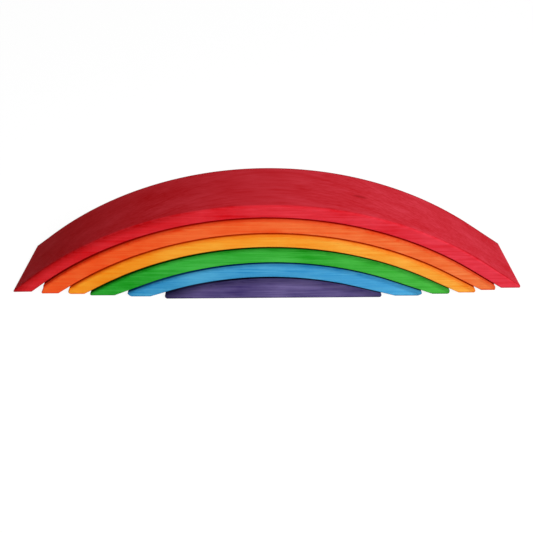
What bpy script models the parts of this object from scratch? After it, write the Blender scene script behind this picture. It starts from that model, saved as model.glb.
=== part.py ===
"""Rainbow stacker: five low wooden arches nested over a solid base piece.

All six pieces are sawn out of one low block, along circles whose centres lie close together
far below the table, and each saw line runs out straight at both ends. Each piece then stands
inside the next with a saw's width of air between them, and the arches lift off one by one,
the outermost first. They stand as a child leaves them: each inner piece a little further
forward and to the right, and turned by a hair.

Sizes are in metres. +Z is up, the front faces -Y, and the table is at Z = 0.
"""
import math
from collections import namedtuple

import bmesh
import bpy
from mathutils import Matrix

# The block that the pieces are sawn from
SPAN = 0.430             # chord of the outermost circle along the table
BASE_RISE = 0.0184       # crown of the base piece above the table
DEPTH = 0.0713           # front to back, the same for every piece
ARCH_THICKNESS = 0.0117  # between an arch's outer and inner circles, before a piece's own difference
SAW_GAP = 0.0008         # air left by the saw between two nested pieces

# How the pieces stand in each other
SIDE_STEP = 0.0004       # each inner piece stands this much further to the right

# Sanded edges
CROWN_ROUND = 0.0020     # round on the front and back rims of an outer circle
FOOT_ROUND = 0.0009      # round on the rims of the feet, the hollow and the tips
SHOULDER_ROUND = 0.0010  # round where a sawn tip meets the outer line
HEEL_ROUND = 0.0020      # round at the inner end of a foot
RIM_LIMIT = 0.9          # a rim's round stays under this share of the round that it runs over

# One piece, from the outermost to the base:
#   thicker   how much thicker than ARCH_THICKNESS it came off the saw
#   aside     how far its outer circle's centre lies to the right of the outermost one's
#   forward   how much further forward it stands than the arch over it
#   turned    degrees that it is turned, anticlockwise as seen from above
#   runs      how long the saw runs straight on its outer line, down to the table, left and right
#   a tip     how far the saw takes it back along the table from where the outer line meets it,
#             how many degrees the cut leans inwards from upright, and the round under the tip
#   skewed    how much further the saw takes the back of its left tip than the front
Piece = namedtuple("Piece", "name stain thicker aside forward turned runs left_tip right_tip skewed",
                   defaults=(0.0,))
PIECES = (
    Piece("red_arch", (0.687, 0.023, 0.037), -0.0005, 0.0, 0.0, 0.12, (0.022, 0.038),
          (0.0008, -5, 0.0008), (0.0031, -5, 0.0010), 0.0040),
    Piece("orange_arch", (0.855, 0.127, 0.032), 0.0001, -0.0012, 0.0029, 0.09, (0.012, 0.032),
          (0.0069, 25, 0.0010), (0.0047, 5, 0.0010)),
    Piece("amber_arch", (0.939, 0.305, 0.030), -0.00085, 0.0010, 0.0023, -0.31, (0.012, 0.033),
          (0.0062, 22, 0.0022), (0.0020, -25, 0.0016)),
    Piece("green_arch", (0.058, 0.413, 0.038), 0.0009, 0.0025, 0.0020, -0.24, (0.014, 0.027),
          (0.0041, -38, 0.0010), (0.0068, 3, 0.0020)),
    Piece("blue_arch", (0.061, 0.342, 0.527), 0.0003, 0.0038, 0.0021, -0.40, (0.027, 0.035),
          (0.01085, -35, 0.0040), (0.0105, -60, 0.0040)),
    Piece("purple_base", (0.091, 0.065, 0.205), 0.0, 0.0015, 0.0027, 0.04, (0.014, 0.032),
          (0.0099, -8, 0.0022), (0.0099, -10, 0.0015)),
)
STAIN_ROUGHNESS = 0.55

# Fineness of the curved faces
OUTER_SIDES = 44         # along an outer circle
INNER_SIDES = 40         # along an inner circle
UNDER_SIDES = 4          # round the underside of a tip
SHOULDER_SIDES = 3       # round a tip's shoulder
HEEL_SIDES = 2           # round the inner end of a foot
RIM_SIDES = 3            # round a rim, from front face to outer face
SHARP_ANGLE = math.radians(35.0)


def thickness(order):
    """From the outer to the inner circle of the arch at this place in the nest."""
    return ARCH_THICKNESS + PIECES[order].thicker


RISE = BASE_RISE + sum(thickness(order) + SAW_GAP for order in range(len(PIECES) - 1))
OUTER_RADIUS = ((SPAN / 2) ** 2 + RISE ** 2) / (2 * RISE)
CENTRE_DROP = OUTER_RADIUS - RISE     # every circle's centre lies this far under the table
CENTRE = (0.0, -CENTRE_DROP)


def outer_radius(order):
    """The outer circle of the piece at this place in the nest, 0 being the outermost."""
    return OUTER_RADIUS - sum(thickness(outer) + SAW_GAP for outer in range(order))


def run_angles(order):
    """Where the outer circle gives way to the straight runs, left and right, from the horizontal."""
    radius = outer_radius(order)
    return [math.atan(run / radius) + math.asin(CENTRE_DROP / math.hypot(radius, run))
            for run in PIECES[order].runs]


# A point of an outline, with the angle that the wood's face looks along there and its rim's round
Spot = namedtuple("Spot", "x z facing rim")


def arc(centre, radius, start, end, sides, rim, turned_over=0.0):
    """Spots on an arc, from one angle to another, both ends included."""
    rim = min(rim, RIM_LIMIT * radius)
    angles = [start + (end - start) * i / sides for i in range(sides + 1)]
    return [Spot(centre[0] + radius * math.cos(a), centre[1] + radius * math.sin(a), a + turned_over, rim)
            for a in angles]


def tip(radius, run_angle, trim, lean_degrees, under_round):
    """A right-hand tip, from its foot up to its straight run.

    One ball rolls up inside the foot and the sawn end, another one inside the sawn end and
    the straight run. Where the two rounds leave no flat between them, the lower ball rolls
    from the foot onto the straight run. Both forms have as many points, so that one of them
    at the front can be joined to the other one at the back.
    """
    lean = math.radians(lean_degrees)
    level = radius - CENTRE_DROP * math.sin(run_angle)   # the run's distance from the origin
    cut = level / math.cos(run_angle) - trim
    low = (cut - under_round * (math.tan(lean) + 1 / math.cos(lean)), under_round)
    beside_run = level - SHOULDER_ROUND
    beside_end = cut * math.cos(lean) - SHOULDER_ROUND
    apart = math.sin(run_angle - lean)
    shoulder = ((beside_end * math.sin(run_angle) - beside_run * math.sin(lean)) / apart,
                (beside_run * math.cos(lean) - beside_end * math.cos(run_angle)) / apart)
    flat = (shoulder[1] - low[1]) * math.cos(lean) - (shoulder[0] - low[0]) * math.sin(lean)
    if flat > 0:
        return (arc(low, under_round, -math.pi / 2, lean, UNDER_SIDES, FOOT_ROUND)
                + arc(shoulder, SHOULDER_ROUND, lean, run_angle, SHOULDER_SIDES, FOOT_ROUND))
    nose = (level - under_round - under_round * math.sin(run_angle)) / math.cos(run_angle)
    sides = UNDER_SIDES + 1 + SHOULDER_SIDES
    return arc((nose, under_round), under_round, -math.pi / 2, run_angle, sides, FOOT_ROUND)


def heel(inner, run_angle):
    """The round at the inner end of a right-hand foot, from the hollow down to the table."""
    level = inner - CENTRE_DROP * math.sin(run_angle)
    x = (level + HEEL_ROUND - HEEL_ROUND * math.sin(run_angle)) / math.cos(run_angle)
    return arc((x, HEEL_ROUND), HEEL_ROUND, run_angle - math.pi, -math.pi / 2, HEEL_SIDES, FOOT_ROUND)


def shifted(spots, aside):
    """The same spots further to the right."""
    return [spot._replace(x=spot.x + aside) for spot in spots]


def mirrored(spots):
    """The same spots on the left-hand side, in the order that goes on round the outline."""
    return [spot._replace(x=-spot.x, facing=math.pi - spot.facing) for spot in reversed(spots)]


def outline(order, skew):
    """The outline of one piece, anticlockwise from the outer end of its right foot.

    The skew is how much further the saw takes the left tip here than at the front.
    """
    piece = PIECES[order]
    radius = outer_radius(order)
    trim, lean, under_round = piece.left_tip
    left_run, right_run = run_angles(order)
    right = tip(radius, right_run, *piece.right_tip)
    left = tip(radius, left_run, trim + skew, lean, under_round)
    crown = arc(CENTRE, radius, right_run, math.pi - left_run, OUTER_SIDES, CROWN_ROUND)
    spots = shifted(right + crown + mirrored(left), piece.aside)
    if order == len(PIECES) - 1:
        return spots
    # The same saw cut makes this hollow and the outer line of the next piece in
    inner = radius - thickness(order)
    left_run, right_run = run_angles(order + 1)
    hollow = arc(CENTRE, inner, math.pi - left_run, right_run, INNER_SIDES, FOOT_ROUND, math.pi)
    inside = mirrored(heel(inner, left_run)) + hollow + heel(inner, right_run)
    return spots + shifted(inside, PIECES[order + 1].aside)


def rim_ring(slab, spots, step, face_y, inwards):
    """One ring of points round a rim: the first lies in the flat face, the last on the outline."""
    angle = math.pi / 2 * step / RIM_SIDES
    points = []
    for spot in spots:
        sunk = spot.rim * (1 - math.sin(angle))
        y = face_y + inwards * spot.rim * (1 - math.cos(angle))
        points.append(slab.verts.new(
            (spot.x - sunk * math.cos(spot.facing), y, spot.z - sunk * math.sin(spot.facing))))
    return points


def rounded_slab(front_spots, back_spots):
    """A slab between the two outlines, with the rims of both faces rounded."""
    slab = bmesh.new()
    rings = [rim_ring(slab, front_spots, step, -DEPTH / 2, 1) for step in range(RIM_SIDES + 1)]
    rings += [rim_ring(slab, back_spots, step, DEPTH / 2, -1) for step in range(RIM_SIDES, -1, -1)]
    slab.faces.new(rings[0])
    slab.faces.new(rings[-1])
    for near, far in zip(rings, rings[1:]):
        for i in range(len(near)):
            slab.faces.new((near[i - 1], near[i], far[i], far[i - 1]))
    bmesh.ops.recalc_face_normals(slab, faces=slab.faces[:])
    return slab


def stained_wood(name, colour):
    """A matt water stain on wood."""
    material = bpy.data.materials.new(name)
    material.use_nodes = True
    shader = material.node_tree.nodes["Principled BSDF"]
    shader.inputs["Base Color"].default_value = (*colour, 1.0)
    shader.inputs["Roughness"].default_value = STAIN_ROUGHNESS
    shader.inputs["Metallic"].default_value = 0.0
    return material


def make_piece(order):
    """One wooden piece, turned about its origin on the table."""
    name = PIECES[order].name
    mesh = bpy.data.meshes.new(name)
    slab = rounded_slab(outline(order, 0.0), outline(order, PIECES[order].skewed))
    turn = Matrix.Rotation(math.radians(PIECES[order].turned), 3, "Z")
    bmesh.ops.rotate(slab, verts=slab.verts[:], cent=(0.0, 0.0, 0.0), matrix=turn)
    slab.to_mesh(mesh)
    slab.free()
    mesh.shade_smooth()
    mesh.set_sharp_from_angle(angle=SHARP_ANGLE)
    mesh.materials.append(stained_wood(name + "_stain", PIECES[order].stain))
    piece = bpy.data.objects.new(name, mesh)
    bpy.context.scene.collection.objects.link(piece)
    return piece


def middle_of(pieces, places, axis):
    """The middle of the box round all pieces, each one moved to its place."""
    reach = [v.co[axis] + place[axis] for piece, place in zip(pieces, places) for v in piece.data.vertices]
    return (min(reach) + max(reach)) / 2


def main():
    for item in list(bpy.data.objects):
        bpy.data.objects.remove(item, do_unlink=True)
    pieces = [make_piece(order) for order in range(len(PIECES))]
    places = []
    forward = 0.0
    for order, piece in enumerate(PIECES):
        forward += piece.forward
        places.append((order * SIDE_STEP, -forward))
    # The base piece stands on the table, each arch stands over the next one in, and the
    # middle of the whole nest is over the origin
    base_x, base_y = places[-1]
    pieces[-1].location = (base_x - middle_of(pieces, places, 0), base_y - middle_of(pieces, places, 1), 0.0)
    for arch, inner_piece, place, inner_place in zip(pieces, pieces[1:], places, places[1:]):
        arch.parent = inner_piece
        arch.location = (place[0] - inner_place[0], place[1] - inner_place[1], 0.0)


main()
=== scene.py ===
# %% [markdown]
# This notebook dresses a rainbow stacker: five low wooden arches that nest over a solid base
# piece. A workshop saws all six out of one plank of lime wood, sands their edges by hand and
# dips each one in its own water stain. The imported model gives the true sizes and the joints,
# so it is loaded first, and each piece here is drawn again more finely in the same place.

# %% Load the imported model
import math
from collections import namedtuple

import bmesh
import bpy
from mathutils import Matrix


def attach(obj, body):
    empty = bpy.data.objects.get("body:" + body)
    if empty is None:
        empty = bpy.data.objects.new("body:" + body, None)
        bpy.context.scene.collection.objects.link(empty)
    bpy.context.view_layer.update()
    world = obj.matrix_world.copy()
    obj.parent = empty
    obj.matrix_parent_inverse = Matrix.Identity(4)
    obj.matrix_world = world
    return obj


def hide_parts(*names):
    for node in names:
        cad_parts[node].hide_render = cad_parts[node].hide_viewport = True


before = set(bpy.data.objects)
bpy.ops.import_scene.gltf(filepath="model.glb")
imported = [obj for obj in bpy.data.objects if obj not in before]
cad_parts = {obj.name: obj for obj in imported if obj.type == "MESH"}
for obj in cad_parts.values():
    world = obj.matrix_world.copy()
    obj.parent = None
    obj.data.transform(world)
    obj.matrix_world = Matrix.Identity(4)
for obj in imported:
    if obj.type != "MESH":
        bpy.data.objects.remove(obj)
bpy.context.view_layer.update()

MM = 0.001
print("packed model:", ", ".join(sorted(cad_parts)))

# %% [markdown]
# The photographer stood in front of the middle, a little over half a metre away, and looked
# down by about 32 degrees through a 50 mm lens. The camera is placed by its turn, its tilt and
# its roll, as a real tripod head is set. That is easier to check than a matrix of numbers.

# %% Camera
LENS = 50.0
SENSOR = 36.0
EYE = (-0.82 * MM, -548.48 * MM, 354.40 * MM)
TURN_RIGHT = math.radians(0.053)
TILT_DOWN = math.radians(32.511)
ROLL = math.radians(0.372)
NEAREST_SEEN = 10 * MM


def add_camera():
    """A camera on a tripod head that is turned, tilted and rolled in that order."""
    lens = bpy.data.cameras.new("camera")
    lens.lens = LENS
    lens.sensor_width = SENSOR
    lens.clip_start = NEAREST_SEEN
    camera = bpy.data.objects.new("camera", lens)
    bpy.context.scene.collection.objects.link(camera)
    turn = Matrix.Rotation(-TURN_RIGHT, 4, "Z")
    tilt = Matrix.Rotation(math.pi / 2 - TILT_DOWN, 4, "X")
    roll = Matrix.Rotation(-ROLL, 4, "Z")
    camera.matrix_world = Matrix.Translation(EYE) @ turn @ tilt @ roll
    bpy.context.scene.camera = camera


add_camera()
bpy.context.scene.view_settings.view_transform = "Standard"
print("camera %.0f mm above the table" % (EYE[2] / MM))

# %% [markdown]
# The toy stands on a white sweep of paper. In the photo the paper is so bright that it melts
# into the page, but the light that it throws back onto the wood is ordinary. The Light Path
# node keeps the two apart: what the camera sees is mostly a flat white, mixed with enough of
# the real paper to keep the shadow, and every other ray meets plain paper.

# %% Paper and surroundings
PAPER_SIZE = 8.0
PAPER_GAP = 0.1 * MM      # the paper lies this far under the feet, so no two faces coincide
PAPER_WHITE = 0.82
PAPER_SEEN_FLAT = 0.86    # the share of flat white in what the camera sees of the paper
FLAT_WHITE = 1.10         # above 1, so that both shares together still come out white
SKY_STRENGTH = 0.17


def seen_rays(tree):
    """The rays that show a background: straight to the camera, off gloss or through glass."""
    path = tree.nodes.new("ShaderNodeLightPath")
    camera_or_gloss = tree.nodes.new("ShaderNodeMath")
    camera_or_gloss.operation = "MAXIMUM"
    any_seen = tree.nodes.new("ShaderNodeMath")
    any_seen.operation = "MAXIMUM"
    tree.links.new(path.outputs["Is Camera Ray"], camera_or_gloss.inputs[0])
    tree.links.new(path.outputs["Is Glossy Ray"], camera_or_gloss.inputs[1])
    tree.links.new(camera_or_gloss.outputs[0], any_seen.inputs[0])
    tree.links.new(path.outputs["Is Transmission Ray"], any_seen.inputs[1])
    return any_seen.outputs[0]


def lay_paper():
    """A wide sheet of white paper under the toy."""
    bpy.ops.object.select_all(action="DESELECT")
    bpy.ops.mesh.primitive_plane_add(size=PAPER_SIZE, location=(0.0, 0.0, -PAPER_GAP))
    paper = bpy.context.object
    paper.name = "paper"
    material = bpy.data.materials.new("white_paper")
    material.use_nodes = True
    tree = material.node_tree
    tree.nodes.clear()
    output = tree.nodes.new("ShaderNodeOutputMaterial")
    plain = tree.nodes.new("ShaderNodeBsdfDiffuse")
    plain.inputs["Color"].default_value = (PAPER_WHITE, PAPER_WHITE, PAPER_WHITE, 1.0)
    flat = tree.nodes.new("ShaderNodeEmission")
    flat.inputs["Color"].default_value = (1.0, 1.0, 1.0, 1.0)
    flat.inputs["Strength"].default_value = FLAT_WHITE
    share = tree.nodes.new("ShaderNodeMath")
    share.operation = "MULTIPLY"
    share.inputs[1].default_value = PAPER_SEEN_FLAT
    mix = tree.nodes.new("ShaderNodeMixShader")
    tree.links.new(seen_rays(tree), share.inputs[0])
    tree.links.new(share.outputs[0], mix.inputs["Fac"])
    tree.links.new(plain.outputs[0], mix.inputs[1])
    tree.links.new(flat.outputs[0], mix.inputs[2])
    tree.links.new(mix.outputs[0], output.inputs["Surface"])
    paper.data.materials.append(material)


def light_surroundings():
    """An even, weak light from all round, which looks white where it is seen."""
    world = bpy.data.worlds.new("studio")
    bpy.context.scene.world = world
    world.use_nodes = True
    tree = world.node_tree
    tree.nodes.clear()
    output = tree.nodes.new("ShaderNodeOutputWorld")
    weak = tree.nodes.new("ShaderNodeBackground")
    weak.inputs["Strength"].default_value = SKY_STRENGTH
    white = tree.nodes.new("ShaderNodeBackground")
    white.inputs["Strength"].default_value = 1.0
    for background in (weak, white):
        background.inputs["Color"].default_value = (1.0, 1.0, 1.0, 1.0)
    mix = tree.nodes.new("ShaderNodeMixShader")
    tree.links.new(seen_rays(tree), mix.inputs["Fac"])
    tree.links.new(weak.outputs[0], mix.inputs[1])
    tree.links.new(white.outputs[0], mix.inputs[2])
    tree.links.new(mix.outputs[0], output.inputs["Surface"])


lay_paper()
light_surroundings()
print("paper %.0f m wide, surroundings at %.2f" % (PAPER_SIZE, SKY_STRENGTH))

# %% [markdown]
# One soft lamp stands behind the camera, well to its right and above it. The top of the red
# arch shows this: it is darkest where it slopes away to the left. A weak lamp behind the toy
# keeps its back readable when it is turned. A lamp's place is given as a compass angle, a
# height angle and a distance, because those are what one changes while looking at the shading.

# %% Lamps
AIM = (0.0, 0.0, 30 * MM)
KEY_FACTOR = 0.985        # how bright the lamp makes a white card that faces it at the aim
KEY_SIDE = math.radians(41.0)
KEY_HEIGHT = math.radians(33.2)
KEY_DISTANCE = 1.7
KEY_WIDTH = 0.5
BACK_FACTOR = 0.18
BACK_SIDE = math.radians(165.0)
BACK_HEIGHT = math.radians(6.0)
BACK_DISTANCE = 2.2
BACK_WIDTH = 1.2


def add_lamp(name, factor, side, height, distance, width):
    """A square lamp that faces the toy, with the power that its factor needs."""
    lamp = bpy.data.lights.new(name, "AREA")
    lamp.shape = "SQUARE"
    lamp.size = width
    lamp.energy = factor * math.pi ** 2 * distance ** 2
    item = bpy.data.objects.new(name, lamp)
    bpy.context.scene.collection.objects.link(item)
    turn = Matrix.Rotation(side, 4, "Z")
    tilt = Matrix.Rotation(math.pi / 2 - height, 4, "X")
    away = Matrix.Translation((0.0, 0.0, distance))
    item.matrix_world = Matrix.Translation(AIM) @ turn @ tilt @ away
    item.visible_camera = False
    print(name, "%.1f W at" % lamp.energy, [round(v, 2) for v in item.matrix_world.translation])


add_lamp("key_lamp", KEY_FACTOR, KEY_SIDE, KEY_HEIGHT, KEY_DISTANCE, KEY_WIDTH)
add_lamp("back_lamp", BACK_FACTOR, BACK_SIDE, BACK_HEIGHT, BACK_DISTANCE, BACK_WIDTH)

# %% [markdown]
# All six pieces come from one plank. Each saw line makes the hollow of one arch and the crown
# of the next piece in, so the base's height, the arches' thicknesses and the width of the cut
# give every circle. At its ends a saw line leaves its circle and runs out straight. The pieces
# stand as a child leaves them: each one a little further forward and to the right than the
# arch over it, and turned by a hair.

# %% Sizes of the plank and the saw lines
SPAN = 430.0 * MM
BASE_RISE = 18.4 * MM
DEPTH = 71.3 * MM
ARCH_THICKNESS = 11.7 * MM
SAW_GAP = 0.8 * MM
SIDE_STEP = 0.4 * MM
CROWN_ROUND = 2.0 * MM     # on the front and back rims of an outer circle
FOOT_ROUND = 0.9 * MM      # on all other rims
SHOULDER_ROUND = 1.0 * MM
HEEL_ROUND = 2.0 * MM
RIM_LIMIT = 0.9            # the most of a round that the rim running over it may take
SANDED_OFF = 0.01 * MM     # what the last sanding takes off all round

PIECE_NAMES = ("red", "orange", "amber", "green", "blue", "purple")
CAD_NAMES = ("red_arch", "orange_arch", "amber_arch", "green_arch", "blue_arch", "purple_base")
THICKER = [v * MM for v in (-0.5, 0.1, -0.85, 0.9, 0.3)]      # than ARCH_THICKNESS
ASIDE = [v * MM for v in (0.0, -1.2, 1.0, 2.5, 3.8, 1.5)]     # centre of the outer circle
FORWARD = [v * MM for v in (0.0, 2.9, 5.2, 7.2, 9.3, 12.0)]   # in front of the red arch
TURNED = [math.radians(v) for v in (0.12, 0.09, -0.31, -0.24, -0.40, 0.04)]
LEFT_RUN = [v * MM for v in (22, 12, 12, 14, 27, 14)]         # straight part of the outer line
RIGHT_RUN = [v * MM for v in (38, 32, 33, 27, 35, 32)]
NEST_PLACE = (-0.47 * MM, 5.81 * MM)                          # the red arch's middle, on the table
BASE = len(PIECE_NAMES) - 1

thicknesses = [ARCH_THICKNESS + extra for extra in THICKER]
RISE = BASE_RISE + sum(thickness + SAW_GAP for thickness in thicknesses)
OUTER_RADIUS = ((SPAN / 2) ** 2 + RISE ** 2) / (2 * RISE)
CENTRE_DROP = OUTER_RADIUS - RISE
radii = [OUTER_RADIUS - sum(thickness + SAW_GAP for thickness in thicknesses[:order])
         for order in range(BASE + 1)]
print("outer circles %s mm, centres %.1f mm under the table"
      % ([round(radius / MM, 1) for radius in radii], CENTRE_DROP / MM))

# %% [markdown]
# A tip is the thin end of an arch. The saw takes it off a little short, leaning inwards or
# undercut, and sandpaper rounds the corners that this leaves. One could bevel the corners
# after the cut, but the rounds are wider than the facets beside them. It is safer to work out
# where a ball of each round's size comes to rest, and to draw its arc. Where the cut leaves no
# flat between its two rounds, one ball rolls all the way from the foot onto the outer line.

# %% Where a tip's rounds lie
UNDER_STEPS = 10
SHOULDER_STEPS = 8
Tip = namedtuple("Tip", "trim lean under_round")    # the lean is in degrees, inwards from upright
RED_LEFT = Tip(0.8 * MM, -5, 0.8 * MM)
RED_RIGHT = Tip(3.1 * MM, -5, 1.0 * MM)


def run_angle(order, run):
    """How high round the circle, from the horizontal, a straight run of this length begins."""
    return math.atan(run / radii[order]) + math.asin(CENTRE_DROP / math.hypot(radii[order], run))


def tip_rounds(order, run, tip):
    """A right-hand tip's rounds, upwards: centre, radius, first angle, last angle and steps."""
    lean = math.radians(tip.lean)
    under_round = tip.under_round
    top = run_angle(order, run)
    level = radii[order] - CENTRE_DROP * math.sin(top)
    cut = level / math.cos(top) - tip.trim
    low = (cut - under_round * (math.tan(lean) + 1 / math.cos(lean)), under_round)
    beside_run = level - SHOULDER_ROUND
    beside_end = cut * math.cos(lean) - SHOULDER_ROUND
    apart = math.sin(top - lean)
    shoulder = ((beside_end * math.sin(top) - beside_run * math.sin(lean)) / apart,
                (beside_run * math.cos(lean) - beside_end * math.cos(top)) / apart)
    flat = (shoulder[1] - low[1]) * math.cos(lean) - (shoulder[0] - low[0]) * math.sin(lean)
    if flat > 0:
        return [(low, under_round, -math.pi / 2, lean, UNDER_STEPS),
                (shoulder, SHOULDER_ROUND, lean, top, SHOULDER_STEPS)]
    nose = (level - under_round * (1 + math.sin(top))) / math.cos(top)
    steps = UNDER_STEPS + 1 + SHOULDER_STEPS        # as many as two rounds and the flat have
    return [((nose, under_round), under_round, -math.pi / 2, top, steps)]


print("rounds on the red arch's tips:", len(tip_rounds(0, LEFT_RUN[0], RED_LEFT)), "and",
      len(tip_rounds(0, RIGHT_RUN[0], RED_RIGHT)))

# %% [markdown]
# An outline made of arcs can be typed in as points, cut from a cylinder, or drawn with a
# compass. The compass is Spin: a plane is merged into one point, the point is spun about a
# centre, and its far end stays selected, ready for the next arc or for a straight stroke.
# Every radius is then exact, and the number of steps can suit the size of each arc.

# %% Compass and ruler
DOT = 2 * MM
MERGE = 0.001 * MM
# Spin turns clockwise about its axis, so the axis points away from the viewer.
SPIN_AXIS = (0.0, 1.0, 0.0)


def pen_point():
    """Where the end of the line is. Its vertex is the newest one."""
    drawing = bmesh.from_edit_mesh(bpy.context.object.data)
    drawing.verts.ensure_lookup_table()
    return drawing.verts[-1].co.copy()


def start_point(place):
    """A plane whose corners are merged into one point, in the place where an outline starts."""
    bpy.ops.mesh.select_all(action="DESELECT")
    bpy.ops.mesh.primitive_plane_add(size=DOT, location=(0.0, 0.0, 0.0))
    bpy.ops.mesh.merge(type="CENTER")
    bpy.ops.transform.translate(value=place)


def swing(centre, turn, steps):
    """Spin the end of the line about a centre, anticlockwise as the viewer sees it."""
    bpy.ops.mesh.spin(steps=steps, angle=turn, center=centre, axis=SPIN_AXIS)


def stroke(end):
    """Draw on in a straight line."""
    way = [b - a for a, b in zip(pen_point(), end)]
    bpy.ops.mesh.extrude_vertices_move(TRANSFORM_OT_translate={"value": way})


def on_circle(centre, radius, angle):
    """The point at an angle on a circle, measured anticlockwise from the right."""
    return (centre[0] + radius * math.cos(angle), centre[1], centre[2] + radius * math.sin(angle))


print("points closer than %.3f mm become one" % (MERGE / MM))

# %% [markdown]
# Sandpaper rounds the rims of the faces: wide where a hand strokes over the crown, narrow at
# the tips and in the hollow. A Bevel with one width can't do that, and with many widths it
# folds where they meet. So each piece is drawn as a stack of outlines, like the slices of a
# loaf, and each slice sinks into the wood as the quarter round of its rim asks.

# %% How a rim sinks
# The turn is 0 on the face and a right angle beside it.
Slice = namedtuple("Slice", "face inwards turn")


def in_rim(width, cut):
    """Where a rim of this width lies in a slice: along Y, and how deep under the full outline."""
    return (cut.face + cut.inwards * (SANDED_OFF + width * (1 - math.cos(cut.turn))),
            SANDED_OFF + width * (1 - math.sin(cut.turn)))


print("crown rim on the face: %.1f mm deep" % (in_rim(CROWN_ROUND, Slice(0.0, 1, 0.0))[1] / MM))

# %% [markdown]
# One outline goes anticlockwise round the piece: up the right tip, along the straight run, over
# the crown, down the left tip, along the left foot, back under the hollow and out along the
# right foot. The base piece has no hollow, so its foot runs straight through. The sanding gets
# narrower along a straight run, from the crown's wide round to the tip's fine one.

# %% Draw one outline
CROWN_STEPS = 150
HOLLOW_STEPS = 130
HEEL_STEPS = 8


def round_ends(rounds, side, aside, cut):
    """Each round's centre and its first point, on the right (1) or mirrored on the left (-1)."""
    ends = []
    for centre, radius, first, last, steps in rounds[::side]:
        y, sunk = in_rim(min(FOOT_ROUND, RIM_LIMIT * radius), cut)
        middle = (aside + side * centre[0], y, centre[1])
        start = first if side > 0 else math.pi - last
        ends.append((middle, on_circle(middle, radius - sunk, start), last - first, steps))
    return ends


def draw_tip(ends):
    """The rounds of a tip, joined by its sawn end. The pen is at the first one already."""
    for number, (middle, first_point, turn, steps) in enumerate(ends):
        if number > 0:
            stroke(first_point)
        swing(middle, turn, steps)


def draw_outline(order, cut, left_tip, right_tip):
    """The outline of the piece at this place in the nest, 0 being the outermost."""
    aside = ASIDE[order]
    right_top, left_top = run_angle(order, RIGHT_RUN[order]), run_angle(order, LEFT_RUN[order])
    right = round_ends(tip_rounds(order, RIGHT_RUN[order], right_tip), 1, aside, cut)
    left = round_ends(tip_rounds(order, LEFT_RUN[order], left_tip), -1, aside, cut)
    y, sunk = in_rim(CROWN_ROUND, cut)
    centre = (aside, y, -CENTRE_DROP)
    foot = right[0][1]
    start_point(foot)
    draw_tip(right)
    stroke(on_circle(centre, radii[order] - sunk, right_top))
    swing(centre, math.pi - left_top - right_top, CROWN_STEPS)
    stroke(left[0][1])
    draw_tip(left)
    if order < BASE:
        draw_hollow(order, cut)
    stroke(foot)


def draw_hollow(order, cut):
    """The inner side of an arch, along the same saw cut as the next piece's outer line."""
    aside = ASIDE[order + 1]
    y, sunk = in_rim(FOOT_ROUND, cut)
    inner = radii[order] - thicknesses[order]
    left_top = run_angle(order + 1, LEFT_RUN[order + 1])
    right_top = run_angle(order + 1, RIGHT_RUN[order + 1])
    left_heel, right_heel = [
        (inner - CENTRE_DROP * math.sin(top) + HEEL_ROUND * (1 - math.sin(top))) / math.cos(top)
        for top in (left_top, right_top)]
    centre = (aside, y, -CENTRE_DROP)
    left_centre = (aside - left_heel, y, HEEL_ROUND)
    right_centre = (aside + right_heel, y, HEEL_ROUND)
    stroke((aside - left_heel, y, sunk))
    swing(left_centre, math.pi / 2 - left_top, HEEL_STEPS)
    stroke(on_circle(centre, inner + sunk, math.pi - left_top))
    swing(centre, left_top + right_top - math.pi, HOLLOW_STEPS)
    stroke(on_circle(right_centre, HEEL_ROUND - sunk, right_top - math.pi))
    swing(right_centre, math.pi / 2 - right_top, HEEL_STEPS)


print("strokes round a crown and a hollow:", CROWN_STEPS, "and", HOLLOW_STEPS)

# %% [markdown]
# Bridge Edge Loops joins the slices from front to back in one go, and Fill Holes closes the two
# faces. Extruding one outline would be quicker, but the left end of the red arch is sawn out of
# square, and slices allow that. Weighted normals leave the rounding to the rims.

# %% From slices to a sanded slab
RIM_STEPS = 6
SMOOTH_CORNER = math.radians(35.0)


def slab(name, order, left_tip, right_tip, skewed):
    """A slab with rounded rims, closed on both sides."""
    bpy.ops.object.select_all(action="DESELECT")
    bpy.ops.mesh.primitive_plane_add(size=DOT, location=(0.0, 0.0, 0.0))
    piece = bpy.context.object
    piece.name = name
    piece.data.name = name
    bpy.ops.object.mode_set(mode="EDIT")
    bpy.ops.mesh.delete(type="VERT")
    back_left_tip = left_tip._replace(trim=left_tip.trim + skewed)
    for step in range(RIM_STEPS + 1):
        turn = math.pi / 2 * step / RIM_STEPS
        draw_outline(order, Slice(-DEPTH / 2, 1, turn), left_tip, right_tip)
        draw_outline(order, Slice(DEPTH / 2, -1, turn), back_left_tip, right_tip)
    bpy.ops.mesh.select_all(action="SELECT")
    bpy.ops.mesh.remove_doubles(threshold=MERGE)
    bpy.ops.mesh.bridge_edge_loops()
    bpy.ops.mesh.select_all(action="SELECT")
    bpy.ops.mesh.fill_holes(sides=0)
    bpy.ops.mesh.select_all(action="SELECT")
    bpy.ops.mesh.normals_make_consistent(inside=False)
    return piece


def put_in_place(order):
    """Turn the piece by its hair and move it to where it stands in the nest."""
    bpy.ops.mesh.select_all(action="SELECT")
    bpy.ops.transform.rotate(value=-TURNED[order], orient_axis="Z",
                             center_override=(0.0, 0.0, 0.0))
    place = (NEST_PLACE[0] + order * SIDE_STEP, NEST_PLACE[1] - FORWARD[order], 0.0)
    bpy.ops.transform.translate(value=place)
    bpy.ops.object.mode_set(mode="OBJECT")


def shade_softly(piece):
    """Smooth shading that keeps the faces flat in the light."""
    bpy.ops.object.shade_smooth_by_angle(angle=SMOOTH_CORNER)
    flats = piece.modifiers.new("flats", "WEIGHTED_NORMAL")
    flats.keep_sharp = True
    bpy.ops.object.modifier_apply(modifier=flats.name)


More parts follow.
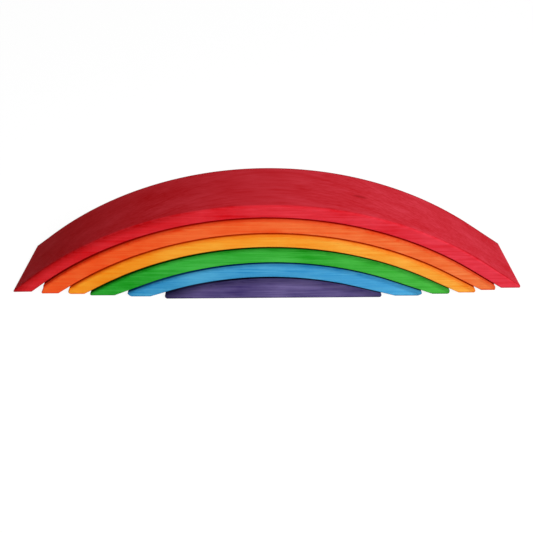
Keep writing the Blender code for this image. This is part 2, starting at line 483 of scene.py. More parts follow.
def mark_rims(piece):
    """Store where the rims are: 0 on a flat face and beside it, 1 halfway round the rim."""
    rims = piece.data.attributes.new("rim", "FLOAT", "POINT")
    for vertex in piece.data.vertices:
        across = vertex.normal.y ** 2
        rims.data[vertex.index].value = 4 * across * (1 - across)


def make_piece(order, left_tip, right_tip, skewed=0.0):
    """One finished wooden piece. Its left tip may be sawn shorter at the back, by skewed."""
    piece = slab(PIECE_NAMES[order] + "_wood", order, left_tip, right_tip, skewed)
    put_in_place(order)
    shade_softly(piece)
    mark_rims(piece)
    box = [[f(v.co[i] for v in piece.data.vertices) for i in range(3)] for f in (min, max)]
    return piece


print("outlines in a slab:", 2 * (RIM_STEPS + 1))

# %% [markdown]
# The red arch is the outermost, and the only one whose top shows from end to end. Its left tip
# was sawn out of square, so it is shorter at the back than at the front.

# %% Red arch
RED_SKEW = 4.0 * MM
red = make_piece(0, RED_LEFT, RED_RIGHT, skewed=RED_SKEW)

# %% [markdown]
# The orange arch has a tall sawn end on the left, which leans inwards, and a low one on the right.

# %% Orange arch
orange = make_piece(1, Tip(6.9 * MM, 25, 1.0 * MM), Tip(4.7 * MM, 5, 1.0 * MM))

# %% [markdown]
# The amber arch was cut shorter on the left than on the right, where its nose is undercut.

# %% Amber arch
amber = make_piece(2, Tip(6.2 * MM, 22, 2.2 * MM), Tip(2.0 * MM, -25, 1.6 * MM))

# %% [markdown]
# The green arch has a pointed nose on the left and a blunt, round one on the right.

# %% Green arch
green = make_piece(3, Tip(4.1 * MM, -38, 1.0 * MM), Tip(6.8 * MM, 3, 2.0 * MM))

# %% [markdown]
# The blue arch ends in a rounded stub on the left and in a long, thin nose on the right.

# %% Blue arch
blue = make_piece(4, Tip(10.85 * MM, -35, 4.0 * MM), Tip(10.5 * MM, -60, 4.0 * MM))

# %% [markdown]
# The purple base is solid: the last piece that the saw leaves over.

# %% Purple base
purple = make_piece(5, Tip(9.9 * MM, -8, 2.2 * MM), Tip(9.9 * MM, -10, 1.5 * MM))

# %% [markdown]
# Node groups come next, one for each effect that the stains share. Sockets could be made and
# linked by hand each time. A small helper makes those of a whole group from one list, and
# another one either links a socket or sets it, so that the cells below read like the drawing
# of the effect and not like its wiring.

# %% Helpers for node groups
def new_group(name, inputs, outputs):
    """An empty node group, with its input and output nodes."""
    group = bpy.data.node_groups.new(name, "ShaderNodeTree")
    for label, kind, value in inputs:
        socket = group.interface.new_socket(name=label, in_out="INPUT", socket_type=kind)
        if value is not None:
            socket.default_value = value
    for label, kind in outputs:
        group.interface.new_socket(name=label, in_out="OUTPUT", socket_type=kind)
    return group, group.nodes.new("NodeGroupInput"), group.nodes.new("NodeGroupOutput")


def feed(tree, socket, value):
    """Link a socket to another one, or set it to a number."""
    if isinstance(value, bpy.types.NodeSocket):
        tree.links.new(value, socket)
    else:
        socket.default_value = value


print("node groups so far:", len(bpy.data.node_groups))

# %% [markdown]
# Every pattern below is noise, stretched and put through a little arithmetic. Each helper here
# places one node and hands back its output socket, so a call can stand inside another call,
# just as a formula is written.

# %% Helpers for arithmetic and noise
FINE_RANGE = (0.28, 0.72)      # the part of a noise that is stretched over 0 to 1
PLAIN_RANGE = (0.30, 0.70)     # the same for a plainer noise
NOISE_MIDDLE = 0.5


def sums(tree, operation, first, second=0.0, clamp=False):
    """One step of arithmetic."""
    node = tree.nodes.new("ShaderNodeMath")
    node.operation = operation
    node.use_clamp = clamp
    feed(tree, node.inputs[0], first)
    feed(tree, node.inputs[1], second)
    return node.outputs[0]


def spread(tree, value, low, high, to_low=0.0, to_high=1.0, smooth=False):
    """Stretch a range of values over another one, and stop at its ends."""
    node = tree.nodes.new("ShaderNodeMapRange")
    node.interpolation_type = "SMOOTHSTEP" if smooth else "LINEAR"
    feed(tree, node.inputs["Value"], value)
    feed(tree, node.inputs["From Min"], low)
    feed(tree, node.inputs["From Max"], high)
    feed(tree, node.inputs["To Min"], to_low)
    feed(tree, node.inputs["To Max"], to_high)
    return node.outputs["Result"]


def place_sums(tree, operation, first, second=(0.0, 0.0, 0.0)):
    """One step of arithmetic on all three measures of a place. Its node is handed back."""
    node = tree.nodes.new("ShaderNodeVectorMath")
    node.operation = operation
    feed(tree, node.inputs[0], first)
    feed(tree, node.inputs[1], second)
    return node


def stretched(tree, place, factors):
    """A place whose three measures are multiplied, which squeezes or stretches a pattern."""
    return place_sums(tree, "MULTIPLY", place, factors).outputs[0]


def split(tree, place):
    """A node that gives the three measures of a place or a direction one by one."""
    node = tree.nodes.new("ShaderNodeSeparateXYZ")
    tree.links.new(place, node.inputs[0])
    return node


def noise(tree, place, scale, detail, roughness=0.5):
    """Soft noise from 0 to 1 in space."""
    node = tree.nodes.new("ShaderNodeTexNoise")
    tree.links.new(place, node.inputs["Vector"])
    feed(tree, node.inputs["Scale"], scale)
    node.inputs["Detail"].default_value = detail
    node.inputs["Roughness"].default_value = roughness
    return node.outputs["Fac"]


def line_noise(tree, value):
    """Soft noise from 0 to 1 along a line. Its node is handed back to set its detail."""
    node = tree.nodes.new("ShaderNodeTexNoise")
    node.noise_dimensions = "1D"
    tree.links.new(value, node.inputs["W"])
    return node


print("a fine noise is stretched from", FINE_RANGE)

# %% [markdown]
# Growth rings are cylinders round the heart of the tree, which lies behind and under the toy
# and runs along it. A picture of rings on each face could never meet at the edges. Rings that
# fill space do: they show as level lines on the fronts, run over onto the top at a shallow
# angle, and turn to arcs on the sawn tips. Each ring darkens slowly and ends sharply.

# %% Group for growth rings
RING_LEAN = 0.022                # how steeply the heart runs down to the right
SWAY_CELLS = (5.0, 14.0, 14.0)   # cells of the noise in a metre, along and across the plank
UNEVEN_STEPS = 0.45              # cells for each ring of the noise that shifts the rings
UNEVEN_WIDTH = 1.6               # and by how many rings it shifts them at most
LATE_WOOD = 2.5                  # a higher power keeps the dark wood closer to the ring's end
RING_END = 0.90                  # from here to the next ring the dark fades
WEAKEST_RING = 0.35              # its darkness, the strongest ring's being 1


def ring_group():
    """Growth rings round a line along X, as 0 in the pale wood up to 1 at a ring's end."""
    tree, given, made = new_group(
        "growth rings",
        [("Place", "NodeSocketVector", None), ("Ring Width", "NodeSocketFloat", 2.6 * MM),
         ("Heart Back", "NodeSocketFloat", 70 * MM), ("Heart Down", "NodeSocketFloat", 60 * MM),
         ("Drift", "NodeSocketFloat", 5 * MM)],
        [("Rings", "NodeSocketFloat")])
    where = split(tree, given.outputs["Place"])
    back = sums(tree, "SUBTRACT", where.outputs["Y"], given.outputs["Heart Back"])
    up = sums(tree, "ADD", where.outputs["Z"], given.outputs["Heart Down"])
    up = sums(tree, "ADD", up, sums(tree, "MULTIPLY", where.outputs["X"], RING_LEAN))
    squares = sums(tree, "ADD", sums(tree, "MULTIPLY", back, back), sums(tree, "MULTIPLY", up, up))
    away = sums(tree, "SQRT", squares)
    slow = noise(tree, stretched(tree, given.outputs["Place"], SWAY_CELLS), scale=1.0, detail=1.0)
    sway = sums(tree, "SUBTRACT", slow, NOISE_MIDDLE)
    sway = sums(tree, "MULTIPLY", sway, given.outputs["Drift"])
    away = sums(tree, "ADD", away, sway)
    count = sums(tree, "DIVIDE", away, given.outputs["Ring Width"])
    uneven = line_noise(tree, sums(tree, "MULTIPLY", count, UNEVEN_STEPS))
    uneven.inputs["Detail"].default_value = 1.0
    count = sums(tree, "ADD", count, sums(tree, "MULTIPLY", uneven.outputs["Fac"], UNEVEN_WIDTH))
    share = sums(tree, "FRACT", count)
    rising = sums(tree, "POWER", share, LATE_WOOD)
    fall = spread(tree, share, RING_END, 1.0, 1.0, 0.0, smooth=True)
    strength = line_noise(tree, sums(tree, "FLOOR", count))
    strong = spread(tree, strength.outputs["Fac"], *PLAIN_RANGE, WEAKEST_RING, 1.0)
    rings = sums(tree, "MULTIPLY", sums(tree, "MULTIPLY", rising, fall), strong)
    tree.links.new(rings, made.inputs["Rings"])
    return tree


rings_group = ring_group()
print("group:", rings_group.name)

# %% [markdown]
# Fibres are the fine streaks along the plank. They come from noise that is squeezed across the
# plank and stretched along it, in two sizes: hair-fine ones and broader bands. On the sawn
# tips the same noise turns into the fine dots of end grain, with nothing done for it.

# %% Group for fibres
FINE_CELLS = (28.0, 760.0, 760.0)      # cells of the noise in a metre, along and across it
BROAD_CELLS = (11.0, 210.0, 210.0)


def fibre_group():
    """Fine streaks along X, from 0 to 1 with 0.5 in the middle."""
    tree, given, made = new_group(
        "fibres",
        [("Place", "NodeSocketVector", None), ("Fine Share", "NodeSocketFloat", 0.70)],
        [("Fibres", "NodeSocketFloat")])
    fine = noise(tree, stretched(tree, given.outputs["Place"], FINE_CELLS),
                 scale=1.0, detail=3.0, roughness=0.6)
    broad = noise(tree, stretched(tree, given.outputs["Place"], BROAD_CELLS),
                  scale=1.0, detail=2.0, roughness=0.55)
    mixed = tree.nodes.new("ShaderNodeMix")
    tree.links.new(given.outputs["Fine Share"], mixed.inputs["Factor"])
    tree.links.new(spread(tree, broad, *PLAIN_RANGE), mixed.inputs["A"])
    tree.links.new(spread(tree, fine, *FINE_RANGE), mixed.inputs["B"])
    tree.links.new(mixed.outputs["Result"], made.inputs["Fibres"])
    return tree


fibres_group = fibre_group()
print("group:", fibres_group.name)

# %% [markdown]
# A water stain never dries evenly. It pools in soft clouds a finger's width across, longer
# along the grain than across it, and the wood under it drinks more in one place than in
# another. One low noise with a little finer noise in it is enough.

# %% Group for clouds in the stain
CLOUD_STRETCH = (0.55, 1.0, 1.0)       # fewer clouds along the grain than across it


def cloud_group():
    """Soft clouds, from 0 to 1 with 0.5 in the middle."""
    tree, given, made = new_group(
        "stain clouds",
        [("Place", "NodeSocketVector", None), ("Scale", "NodeSocketFloat", 45.0)],
        [("Clouds", "NodeSocketFloat")])
    soft = noise(tree, stretched(tree, given.outputs["Place"], CLOUD_STRETCH),
                 scale=given.outputs["Scale"], detail=3.0, roughness=0.55)
    tree.links.new(spread(tree, soft, *FINE_RANGE), made.inputs["Clouds"])
    return tree


clouds_group = cloud_group()
print("group:", clouds_group.name)

# %% [markdown]
# A band saw leaves fine ridges straight across the cut, parallel to its blade. The crown is
# sanded, so they hardly show there, but nobody sands the hollow of an arch. The ridges follow
# the angle round the centre of the cut, and a second noise breaks them up across the depth.
# The same group tells how near a point is to either cut. In the hollow the rough cut holds more
# dye, and its mask also paints shade there. Along the crown its mask paints a strip of shade.
# It also finds the joint, where painted shade stands for the shadow in the gap: the line on a
# crown where the front edge of the arch over it lies. Each pair of numbers says where such a
# mask starts to change and where it has changed in full.

# %% Group for saw marks
RIDGE_LENGTH = 1.1 * MM
RIDGE_DEPTH = 60 * MM                   # how far across the depth a ridge keeps its height
# the hollow's mask: the rough cut holds more dye, and its darkening also paints the shade under the
# arch
HOLLOW_DYE_AND_SHADE_FADE = (0.5 * MM, 1.0 * MM)      # over the crown of the piece inside, from all to none
# painted shade in a strip under the crown's edge
CROWN_SHADE_EDGE = -0.2 * MM                  # over the crown, all of it from here outwards
# painted shade in the gap: a strip on the crown behind the front edge of the arch over it
GAP_SHADE_EDGE = (-0.6 * MM, -0.2 * MM)     # over the crown, from none to all
GAP_SHADE_FRONT = (-0.5 * MM, 0.3 * MM)     # behind the front edge of the arch over it, none to all
GAP_SHADE_REAR = (3.0 * MM, 6.0 * MM)       # behind the same edge, from all to none


def saw_group():
    """Ridges across the saw cut as a height, and masks: the hollow's dye and painted shade, the
    painted shade along the crown, and the painted shade in the gap.
    """
    tree, given, made = new_group(
        "saw marks",
        [("Place", "NodeSocketVector", None),
         ("Crown Aside", "NodeSocketFloat", 0.0), ("Crown Radius", "NodeSocketFloat", 0.0),
         ("Hollow Aside", "NodeSocketFloat", 0.0), ("Hollow Radius", "NodeSocketFloat", 0.0),
         ("Joint Start", "NodeSocketFloat", 1.0), ("Crown Reach", "NodeSocketFloat", 3.2 * MM)],
        [("Ridges", "NodeSocketFloat"), ("Hollow", "NodeSocketFloat"),
         ("Crown", "NodeSocketFloat"), ("Joint", "NodeSocketFloat")])
    where = split(tree, given.outputs["Place"])
    up = sums(tree, "ADD", where.outputs["Z"], CENTRE_DROP)
    above = {}
    for cut in ("Hollow", "Crown"):
        side = sums(tree, "SUBTRACT", where.outputs["X"], given.outputs[cut + " Aside"])
        squares = sums(tree, "ADD", sums(tree, "MULTIPLY", side, side),
                       sums(tree, "MULTIPLY", up, up))
        away = sums(tree, "SQRT", squares)
        above[cut] = sums(tree, "SUBTRACT", away, given.outputs[cut + " Radius"])
    angle = sums(tree, "ARCTAN2", side, up)
    along = tree.nodes.new("ShaderNodeCombineXYZ")
    tree.links.new(sums(tree, "MULTIPLY", angle, OUTER_RADIUS / RIDGE_LENGTH), along.inputs["X"])
    tree.links.new(sums(tree, "MULTIPLY", where.outputs["Y"], 1 / RIDGE_DEPTH), along.inputs["Y"])
    hollow = spread(tree, above["Hollow"], *HOLLOW_DYE_AND_SHADE_FADE, 1.0, 0.0, smooth=True)
    reach = sums(tree, "MULTIPLY", given.outputs["Crown Reach"], -1.0)
    # painted shade in a strip under the crown's edge
    crown = spread(tree, above["Crown"], reach, CROWN_SHADE_EDGE, 0.0, 1.0, smooth=True)
    # painted shade in the gap under the front edge of the arch over this piece
    on_crown = spread(tree, above["Crown"], *GAP_SHADE_EDGE)
    behind = sums(tree, "SUBTRACT", where.outputs["Y"], given.outputs["Joint Start"])
    begins = spread(tree, behind, *GAP_SHADE_FRONT)
    ends = spread(tree, behind, *GAP_SHADE_REAR, 1.0, 0.0)
    joint = sums(tree, "MULTIPLY", on_crown, sums(tree, "MULTIPLY", begins, ends))
    ridges = noise(tree, along.outputs[0], scale=1.0, detail=2.0)
    tree.links.new(ridges, made.inputs["Ridges"])
    tree.links.new(hollow, made.inputs["Hollow"])
    tree.links.new(crown, made.inputs["Crown"])
    tree.links.new(joint, made.inputs["Joint"])
    return tree


saws_group = saw_group()
print("group:", saws_group.name)

# %% [markdown]
# The stain itself is a thin dye, not paint: the grain stays visible as places where more or
# less of it went in. The rings, fibres and clouds only decide how thin the dye is at a point.
# On the rims the colour is made a little deeper, as painted shade that tones down the lamp's bright
# line along them.

# %% Group for how thin the dye is
EVEN_DYE = 0.5                 # the thinness halfway between full dye and bare wood
PATTERN_MIDDLES = (("Rings", 0.25), ("Fibres", NOISE_MIDDLE), ("Clouds", NOISE_MIDDLE))


def dye_group():
    """How thin the dye is, from 0 where it is full to 1 where the wood shows through."""
    tree, given, made = new_group(
        "dye thinness",
        [("Rings", "NodeSocketFloat", 0.0), ("Fibres", "NodeSocketFloat", 0.5),
         ("Clouds", "NodeSocketFloat", 0.5), ("Rim", "NodeSocketFloat", 0.0),
         ("Ring Share", "NodeSocketFloat", -0.40), ("Fibre Share", "NodeSocketFloat", 0.80),
         ("Cloud Share", "NodeSocketFloat", 0.60), ("Rim Shade Share", "NodeSocketFloat", -0.15)],
        [("Thinness", "NodeSocketFloat")])
    total = EVEN_DYE
    for label, middle in PATTERN_MIDDLES:
        part = sums(tree, "SUBTRACT", given.outputs[label], middle)
        part = sums(tree, "MULTIPLY", part, given.outputs[label[:-1] + " Share"])
        total = sums(tree, "ADD", part, total)
    # painted shade on the rims, against the lamp's bright line there
    on_rims = sums(tree, "MULTIPLY", given.outputs["Rim"], given.outputs["Rim Shade Share"])
    total = sums(tree, "ADD", total, on_rims, clamp=True)
    tree.links.new(total, made.inputs["Thinness"])
    return tree


dyes_group = dye_group()
print("group:", dyes_group.name)

# %% [markdown]
# Some places hold more dye than a sanded face does: the open pores of the sawn tips, the rough
# saw cut in the hollow, and a single spot such as a knot. The same mask also carries painted
# shade: in the hollow, along the crowns, in the gap under the front edge of the arch over a
# piece, on the rims that face down and back and along the table, with a darker line on the
# rims at the ends, and at the purple base's left nose. Where a face looks along the plank its
# pores are cut across, so the direction of the surface finds the tips, and the place on the
# piece finds the rest. Painting them by hand would need a picture.

# %% Group for dye pools and painted shade
TIP_FACING = (0.62, 0.78)               # how far a face looks along the plank, none to all
END_FACING = (0.30, 0.50)               # the same for a rim
LOW_FACING = (-0.30, -0.05)             # how far a rim looks up, from all to none
BACK_FACING = (0.6, 0.9)                # how far a surface looks back, from all to none
# painted shade on the rims that face back and along the table
REAR_RIM_SHADE = (1.8 * MM, 3.2 * MM)       # in front of the rear edge, from all to none
TABLE_SHADE = (0.8 * MM, 1.8 * MM)       # over the table, from all to none
TABLE_SHADE_SHARE = 0.45                       # painted shade along the table is weaker than on a rim
SPOT_CORE = 0.25                        # the share of a spot's size that is full


def rim_and_table_shade(tree, given, where, direction, endways):
    """Painted shade on the rims that face down, on the rear rims and along the table, and a darker
    line on the rims at the ends.
    """
    low_or_end = sums(tree, "MAXIMUM", spread(tree, endways, *END_FACING),
                      spread(tree, direction.outputs["Z"], *LOW_FACING, 1.0, 0.0))
    at_rims = sums(tree, "MULTIPLY", given.outputs["Rim"], low_or_end)
    from_rear = sums(tree, "SUBTRACT", given.outputs["Rear Edge"], where.outputs["Y"])
    at_rear = sums(tree, "MULTIPLY", spread(tree, from_rear, *REAR_RIM_SHADE, 1.0, 0.0),
                   spread(tree, direction.outputs["Y"], *BACK_FACING, 1.0, 0.0))
    at_feet = spread(tree, where.outputs["Z"], *TABLE_SHADE, TABLE_SHADE_SHARE, 0.0)
    return sums(tree, "MAXIMUM", sums(tree, "MAXIMUM", at_rims, at_rear), at_feet)


def pool_and_shade_group():
    """How much second coat lies on the surface, from 0 on a sanded face up to 1: dye that collects
    at tips, in the hollow and in spots, and painted shade.
    """
    tree, given, made = new_group(
        "dye pools and painted shade",
        [("Place", "NodeSocketVector", None), ("Facing", "NodeSocketVector", None),
         ("Hollow", "NodeSocketFloat", 0.0), ("Crown", "NodeSocketFloat", 0.0),
         ("Joint", "NodeSocketFloat", 0.0), ("Rim", "NodeSocketFloat", 0.0),
         ("Rear Edge", "NodeSocketFloat", 1.0),
         ("Spot", "NodeSocketVector", (0.0, 0.0, 1.0)),
         ("Spot Size", "NodeSocketVector", (1.0, 1.0, 1.0)),
         ("Tip Depth", "NodeSocketFloat", 0.80), ("Hollow Depth", "NodeSocketFloat", 1.0),
         ("Crown Depth", "NodeSocketFloat", 0.0), ("Joint Depth", "NodeSocketFloat", 1.0),
         ("Rim And Table Shade Depth", "NodeSocketFloat", 0.90), ("Spot Depth", "NodeSocketFloat", 0.0)],
        [("Pooled And Shaded", "NodeSocketFloat")])
    where = split(tree, given.outputs["Place"])
    direction = split(tree, given.outputs["Facing"])
    endways = sums(tree, "ABSOLUTE", direction.outputs["X"])
    tips = spread(tree, endways, *TIP_FACING, smooth=True)
    rim_and_table_shade_mask = rim_and_table_shade(tree, given, where, direction, endways)
    from_spot = place_sums(tree, "SUBTRACT", given.outputs["Place"], given.outputs["Spot"])
    in_sizes = place_sums(tree, "DIVIDE", from_spot.outputs[0], given.outputs["Spot Size"])
    away = place_sums(tree, "LENGTH", in_sizes.outputs[0]).outputs["Value"]
    spot = spread(tree, away, SPOT_CORE, 1.0, 1.0, 0.0, smooth=True)
    # the masks below hold real dye (tips, hollow, spot) and painted shade (hollow, crown strip,
    # gap, rims, table, the purple nose)
    clean = 1.0        # the share of the surface that no coat covers yet
    for mask, label in ((tips, "Tip Depth"), (given.outputs["Hollow"], "Hollow Depth"),
                        (given.outputs["Crown"], "Crown Depth"),
                        (given.outputs["Joint"], "Joint Depth"),
                        (rim_and_table_shade_mask, "Rim And Table Shade Depth"), (spot, "Spot Depth")):
        covered = sums(tree, "MULTIPLY", mask, given.outputs[label])
        clean = sums(tree, "MULTIPLY", clean, sums(tree, "SUBTRACT", 1.0, covered))
    tree.links.new(sums(tree, "SUBTRACT", 1.0, clean), made.inputs["Pooled And Shaded"])
    return tree


pools_and_shade_group = pool_and_shade_group()
print("group:", pools_and_shade_group.name)

# %% [markdown]
# Where a dye gets thicker its colour deepens by a power law, so weak channels change much more
# than strong ones: thin red turns pinkish, thick red turns pure. One could pick a dark and a
# pale colour by eye, but the power law gives both from one tone. Dye that collects is a second
# coat: it only lets through its own colour, and how much of that is the stain's clearness. The
# same second coat also paints shade into hollows, strips, gaps and rims.

# %% Helpers for a stain's colours
CONTRAST = 0.26                # how much the dye's thickness varies
COAT_STRENGTH = 1.3            # how strongly the second coat is coloured, 1 being the dye's tone


def placed(tree, group, **values):
    """A node group in a material, with its inputs linked or set."""
    node = tree.nodes.new("ShaderNodeGroup")
    node.node_tree = group
    for label, value in values.items():
        feed(tree, node.inputs[label.replace("_", " ")], value)
    return node


def blended(tree, factor, first, second, how="MIX"):
    """A colour between two colours, or their product."""
    node = tree.nodes.new("ShaderNodeMix")
    node.data_type = "RGBA"
    node.blend_type = how
    feed(tree, node.inputs["Factor"], factor)
    feed(tree, node.inputs["A"], first)
    feed(tree, node.inputs["B"], second)
    return node.outputs["Result"]


def deepened(tone, thickness):
    """A stain's colour at another thickness of its dye, 1 being the normal one."""
    return (*[channel ** thickness for channel in tone], 1.0)


def dye_and_shade_colour(tone, clearness):
    """What a full second coat of a stain lets through, as dye that collects and as painted shade,
    clearness being for a pure channel.
    """
    return (*[clearness * channel ** COAT_STRENGTH for channel in tone], 1.0)


print("a grey of 0.50 under thick dye: %.2f" % deepened((0.5, 0.5, 0.5), 1 + CONTRAST)[0])

# %% [markdown]
# Shade is painted along the crowns. On the arches inside the nest it is an even strip under
# the edge, where the arch over it shades the step. The red arch gets painted shade down its
# front rim on the left, where the rim turns from the lamp, and a little on its top on the
# right, where the lamp lights it most. The painted shade on the purple base gets deeper
# towards the left. A separate strip of mesh would show a seam.

# %% Painted shade along the crowns
# painted shade in a strip under each crown's edge, drawn with the second coat
CROWN_SHADE_REACH = 3.2 * MM                  # how far down the face the strip reaches
WIDE_SHADE_REACH = 6.5 * MM                   # and on the red and the purple piece
CROWN_SHADE_DEPTH = 0.38                      # how much of the second coat lies in the strip
RED_RIM_SHADE_DEPTH = 0.56                    # how much lies on the red front rim, on the left
RED_TOP_SHADE_DEPTH = 0.16                    # and on the red top, on the right
RED_RIM_SHADE_RUN = (-90 * MM, -50 * MM)      # along the arch, from all to none
RED_TOP_SHADE_RUN = (100 * MM, 190 * MM)      # from none to all
FRONT_FACING = (-0.9, -0.5)             # how far a surface looks back, from all to none
PURPLE_SHADE_RUN = (-90 * MM, 90 * MM)
PURPLE_SHADE_DEPTHS = (0.60, 0.35)            # at the left and the right end of that run


def red_crown_shade(tree, x, facing):
    """Painted shade on the red crown: down its front rim on the left, on its top on the right."""
    frontal = spread(tree, split(tree, facing).outputs["Y"], *FRONT_FACING, 1.0, 0.0)
    on_rim = sums(tree, "MULTIPLY", frontal, spread(tree, x, *RED_RIM_SHADE_RUN, RED_RIM_SHADE_DEPTH, 0.0))
    upward = sums(tree, "SUBTRACT", 1.0, frontal)
    on_top = sums(tree, "MULTIPLY", upward, spread(tree, x, *RED_TOP_SHADE_RUN, 0.0, RED_TOP_SHADE_DEPTH))
    return sums(tree, "ADD", on_rim, on_top)


def crown_shade(tree, order, x, facing):
    """How deep the painted shade lies along a crown, and how far down the face it reaches."""
    if order == 0:
        return red_crown_shade(tree, x, facing), WIDE_SHADE_REACH
    if order == BASE:
        return spread(tree, x, *PURPLE_SHADE_RUN, *PURPLE_SHADE_DEPTHS), WIDE_SHADE_REACH
    return CROWN_SHADE_DEPTH, CROWN_SHADE_REACH


print("strip along a crown: %.1f mm, wide ones %.1f mm" % (CROWN_SHADE_REACH / MM, WIDE_SHADE_REACH / MM))

# %% [markdown]
# Every piece gets a material of its own, with the shared groups inside. The surface is matt,
# because dry stain on sanded wood reflects little. Fibres stand up a few hundredths of a
# millimetre, and a Bump node shows that well enough. No one would model them.

# %% Material for one stain
# the change from the left tone to the right one is partly the stain and partly painted light
STAIN_AND_LIGHT_DRIFT_REACH = 190 * MM         # to either side, from a stain's left tone to its right one
SURFACE_SPECULAR = 0.015
SURFACE_ROUGHNESS = 0.70
ROUGHNESS_SWING = 0.06         # less in the fibres' troughs and more on their tops
FIBRE_HEIGHT = 0.05 * MM
RING_HEIGHT = 0.5              # of a fibre's height
SANDED_RIDGES = 0.1            # saw ridges on sanded wood, in fibre heights
ROUGH_RIDGES = 1.6             # and in the hollow
NO_GAP_SHADE = 1.0                 # a metre behind the middle, where no piece reaches
Stain = namedtuple("Stain", "slot piece left right clearness")
Spot = namedtuple("Spot", "place size depth")


def add_bump(tree, fibres, rings, saw, shader):
    """The height of the fibres, the rings and the saw ridges, as a bent normal."""
    ridge_share = spread(tree, saw.outputs["Hollow"], 0.0, 1.0, SANDED_RIDGES, ROUGH_RIDGES)
    ridges = sums(tree, "MULTIPLY", saw.outputs["Ridges"], ridge_share)
    height = sums(tree, "ADD", fibres, sums(tree, "MULTIPLY", rings, RING_HEIGHT))
    height = sums(tree, "ADD", height, ridges)
    bump = tree.nodes.new("ShaderNodeBump")
    bump.inputs["Strength"].default_value = 1.0
    bump.inputs["Distance"].default_value = FIBRE_HEIGHT
    tree.links.new(height, bump.inputs["Height"])
    tree.links.new(bump.outputs["Normal"], shader.inputs["Normal"])


def stained_wood(stain, order, spot):
    """A water stain on lime wood, for the piece at this place in the nest."""
    material = bpy.data.materials.new(stain.slot)
    material.use_nodes = True
    tree = material.node_tree
    shader = tree.nodes["Principled BSDF"]
    given = tree.nodes.new("ShaderNodeTexCoord")
    place, facing = given.outputs["Object"], given.outputs["Normal"]
    x = split(tree, place).outputs["X"]
    rim = tree.nodes.new("ShaderNodeAttribute")
    rim.attribute_name = "rim"
    rings = placed(tree, rings_group, Place=place).outputs["Rings"]
    fibres = placed(tree, fibres_group, Place=place).outputs["Fibres"]
    clouds = placed(tree, clouds_group, Place=place).outputs["Clouds"]
    thin = placed(tree, dyes_group, Rings=rings, Fibres=fibres, Clouds=clouds,
                  Rim=rim.outputs["Fac"]).outputs["Thinness"]
    inner = min(order + 1, BASE)
    # painted shade along the crown, and in the gap under the arch over this piece
    crown_shade_depth, crown_shade_reach = crown_shade(tree, order, x, facing)
    gap_shade_start = NEST_PLACE[1] - FORWARD[order - 1] - DEPTH / 2 if order > 0 else NO_GAP_SHADE
    saw = placed(tree, saws_group, Place=place,
                 Crown_Aside=ASIDE[order], Crown_Radius=radii[order], Crown_Reach=crown_shade_reach,
                 Hollow_Aside=ASIDE[inner], Hollow_Radius=radii[inner] if order < BASE else 0.0,
                 Joint_Start=gap_shade_start)
    dye_and_shade_pools = placed(tree, pools_and_shade_group, Place=place, Facing=facing, Rim=rim.outputs["Fac"],
                    Hollow=saw.outputs["Hollow"], Crown=saw.outputs["Crown"],
                    Joint=saw.outputs["Joint"], Crown_Depth=crown_shade_depth,
                    Rear_Edge=NEST_PLACE[1] - FORWARD[order] + DEPTH / 2,
                    Spot=spot.place, Spot_Size=spot.size, Spot_Depth=spot.depth)
    # the tones drift along the piece: partly stain, partly painted light
    along = spread(tree, x, -STAIN_AND_LIGHT_DRIFT_REACH, STAIN_AND_LIGHT_DRIFT_REACH)
    full, pale = [
        blended(tree, along, deepened(stain.left, thickness), deepened(stain.right, thickness))
        for thickness in (1 + CONTRAST, 1 - CONTRAST)]
    colour = blended(tree, thin, full, pale)
    # the second coat is both dye that collects and painted shade
    middle = [(a + b) / 2 for a, b in zip(stain.left, stain.right)]
    coats = [dye_and_shade_colour(middle, clearness) for clearness in stain.clearness]
    coat = blended(tree, along, *coats)
    colour = blended(tree, dye_and_shade_pools.outputs["Pooled And Shaded"], colour, coat, how="MULTIPLY")
    tree.links.new(colour, shader.inputs["Base Color"])
    rough = spread(tree, fibres, 0.0, 1.0, SURFACE_ROUGHNESS - ROUGHNESS_SWING,
                   SURFACE_ROUGHNESS + ROUGHNESS_SWING)
    tree.links.new(rough, shader.inputs["Roughness"])
    shader.inputs["Specular IOR Level"].default_value = SURFACE_SPECULAR
    add_bump(tree, fibres, rings, saw, shader)
    return material


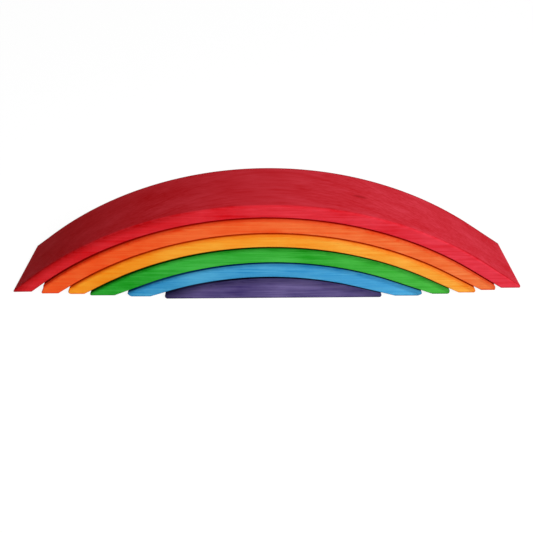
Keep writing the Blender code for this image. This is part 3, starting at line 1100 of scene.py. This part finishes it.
print("wood shader: specular %.3f, roughness %.2f" % (SURFACE_SPECULAR, SURFACE_ROUGHNESS))

# %% [markdown]
# The six stains. Their tones are set for a lamp that lights the middle of the fronts at about
# full strength, so a colour here is close to the colour in the picture. Each stain has a left
# and a right tone. The change between them is partly the stain and partly painted light, which
# evens out and tints the lamp's change from left to right. The last two numbers are the
# clearness of the second coat on the left and on the right. It is low on the right of the
# green, blue and purple pieces, where it paints the deep shadow in the gaps. The red crown has
# a knot, and the purple base gets painted shade at its left nose.

# %% The six stains
NO_SPOT = Spot((0.0, 0.0, 1.0), (1.0, 1.0, 1.0), 0.0)
SPOTS = {
    "red_stain": Spot((78 * MM, 3 * MM, 71 * MM), (9 * MM, 3 * MM, 6 * MM), 0.55),
    # painted shade at the purple base's left nose
    "purple_stain": Spot((-93 * MM, -42 * MM, 8 * MM), (42 * MM, 60 * MM, 30 * MM), 0.45),
}
stains = (
    Stain("red_stain", red, (0.67, 0.0090, 0.0130), (0.62, 0.0160, 0.0310), (0.85, 0.85)),
    Stain("orange_stain", orange, (0.92, 0.078, 0.009), (0.73, 0.135, 0.027), (0.85, 0.75)),
    Stain("amber_stain", amber, (0.97, 0.305, 0.008), (0.82, 0.308, 0.026), (0.85, 0.75)),
    Stain("green_stain", green, (0.017, 0.392, 0.026), (0.033, 0.362, 0.023), (0.70, 0.05)),
    Stain("blue_stain", blue, (0.034, 0.305, 0.575), (0.043, 0.312, 0.625), (0.70, 0.10)),
    Stain("purple_stain", purple, (0.082, 0.056, 0.198), (0.090, 0.065, 0.197), (0.80, 0.20)),
)
for order, stain in enumerate(stains):
    material = stained_wood(stain, order, SPOTS.get(stain.slot, NO_SPOT))
    stain.piece.data.materials.append(material)
    print(stain.slot, "on", stain.piece.name)

# %% [markdown]
# Last, each drawn piece takes the place of its imported node and rides on that node's body.

# %% Hand over
BODIES = ("red", "orange", "amber", "green", "blue", "base")
for stain, node, body in zip(stains, CAD_NAMES, BODIES):
    piece, slot = stain.piece, stain.slot
    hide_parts(node)
    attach(piece, body)
